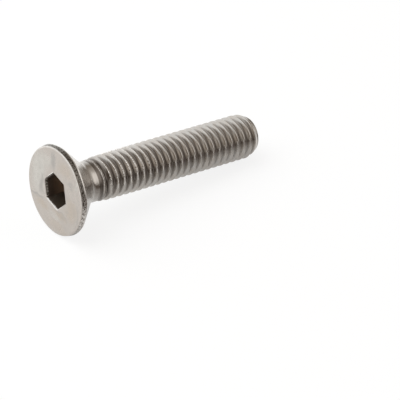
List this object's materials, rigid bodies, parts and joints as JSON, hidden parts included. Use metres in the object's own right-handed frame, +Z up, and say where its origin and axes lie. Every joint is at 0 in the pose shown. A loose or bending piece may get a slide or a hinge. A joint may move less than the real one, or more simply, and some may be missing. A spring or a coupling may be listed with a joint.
{
  "type": "countersunk socket screw",
  "caption": "Machine screw with a flat countersunk head, a hexagon socket, a smooth neck and a threaded shank with a bevelled end.",
  "frame": {"origin": "middle of the flat head face", "axes": "+Z up; the screw lies on its side with its point towards +X, resting on the rim of its head and on the last crests of its thread, so its axis falls by about 5.9 degrees towards the point"},
  "size_m": [0.0311, 0.0116, 0.0117],
  "materials": {
    "stainless_steel": "satin, as cold formed and tumbled"
  },
  "bodies": {
    "root": {"countersunk_socket_screw": "stainless_steel"}
  },
  "joints": []
}
